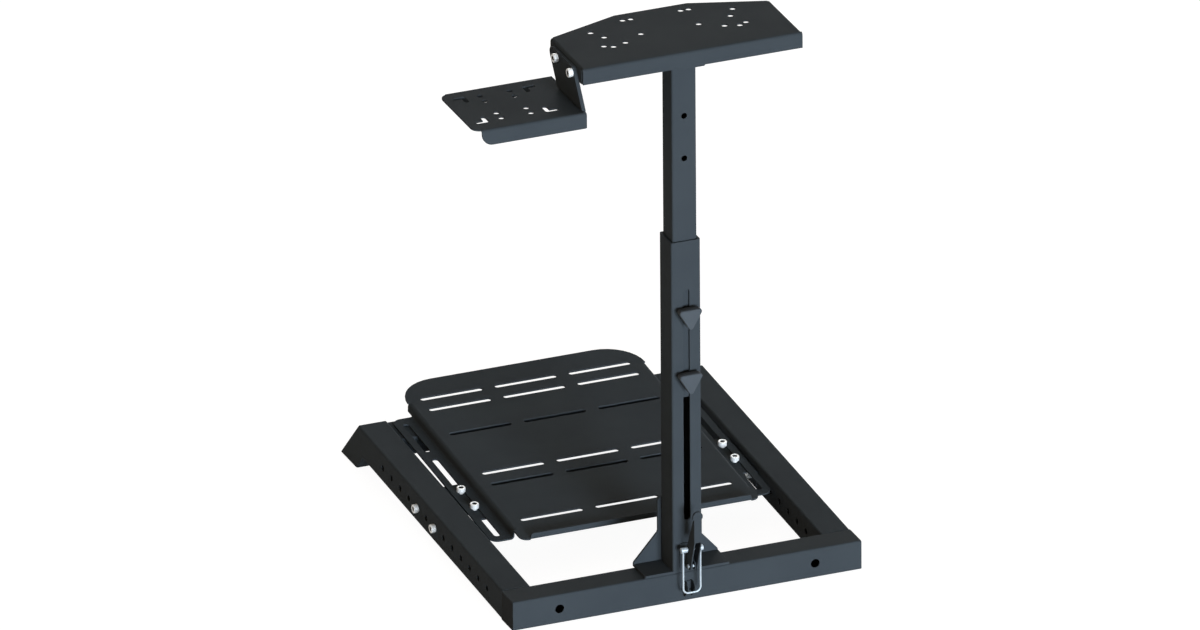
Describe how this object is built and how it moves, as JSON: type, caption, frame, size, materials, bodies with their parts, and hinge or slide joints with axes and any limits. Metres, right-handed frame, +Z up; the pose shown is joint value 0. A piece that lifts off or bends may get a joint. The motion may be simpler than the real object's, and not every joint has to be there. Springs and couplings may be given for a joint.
{
  "type": "racing wheel stand",
  "caption": "Folding steel stand with a height-adjustable column, a bolted deck and shifter bracket, a slotted pedal plate and a draw latch at the foot.",
  "frame": {"origin": "on the floor, under the middle of the cross-member and below the column axis", "axes": "+X along the cross-member to the driver's right, +Y away from the driver towards the pedals, +Z up"},
  "size_m": [0.5425, 0.64, 0.7773],
  "materials": {
    "black_powder_coat": "satin",
    "end_cap_plastic": "matte",
    "knob_plastic": "satin",
    "zinc_plate": "bright zinc"
  },
  "bodies": {
    "base_frame": {"cross_member": "black_powder_coat", "left_end_cap": "end_cap_plastic", "right_end_cap": "end_cap_plastic", "left_rail": "black_powder_coat", "right_rail": "black_powder_coat", "left_rear_leg": "black_powder_coat", "right_rear_leg": "black_powder_coat", "rear_cross_bar": "black_powder_coat", "pedal_cross_bar": "black_powder_coat", "pedal_plate": "black_powder_coat", "latch_keeper": "black_powder_coat", "base_hinge_leaf": "black_powder_coat", "hinge_pin": "zinc_plate"},
    "column": {"outer_tube": "black_powder_coat", "foot_plate": "black_powder_coat", "back_plate": "black_powder_coat", "column_hinge_leaf": "black_powder_coat", "latch_bracket": "black_powder_coat", "latch_pivot_pin": "zinc_plate"},
    "latch_lever": {"latch_lever": "black_powder_coat", "latch_bail_pin": "zinc_plate"},
    "latch_bail": {"latch_bail": "zinc_plate"},
    "upper_column": {"inner_tube": "black_powder_coat", "deck_support": "black_powder_coat", "wheel_deck": "black_powder_coat", "shifter_bracket": "black_powder_coat", "upper_clamp_nut": "zinc_plate", "lower_clamp_nut": "zinc_plate"},
    "upper_knob": {"upper_knob": "knob_plastic", "upper_clamp_screw": "zinc_plate"},
    "lower_knob": {"lower_knob": "knob_plastic", "lower_clamp_screw": "zinc_plate"}
  },
  "joints": [
    {"name": "column_fold", "type": "hinge", "parent": "base_frame", "child": "column", "pos_m": [0, 0.029, 0.043], "axis": [-1, 0, 0], "range_deg": [0, 77]},
    {"name": "height_slide", "type": "slide", "parent": "column", "child": "upper_column", "axis": [0, 0, 1], "range_m": [-0.195, 0.028]},
    {"name": "upper_knob_turn", "type": "hinge", "parent": "upper_column", "child": "upper_knob", "pos_m": [0, -0.025, 0.403], "axis": [0, -1, 0], "range_deg": [0, 180]},
    {"name": "lower_knob_turn", "type": "hinge", "parent": "upper_column", "child": "lower_knob", "pos_m": [0, -0.025, 0.313], "axis": [0, -1, 0], "range_deg": [0, 180]},
    {"name": "latch_lever_swing", "type": "hinge", "parent": "column", "child": "latch_lever", "pos_m": [0, -0.037, 0.056], "axis": [1, 0, 0], "range_deg": [0, 90]},
    {"name": "latch_bail_swing", "type": "hinge", "parent": "latch_lever", "child": "latch_bail", "pos_m": [0, -0.0345, 0.0785], "axis": [1, 0, 0], "range_deg": [-115, 0]}
  ],
  "couplings": [
    {"joint": "latch_lever_swing", "follows": "column_fold", "ratio": 1.1688},
    {"joint": "latch_bail_swing", "follows": "column_fold", "ratio": -1.4935}
  ]
}
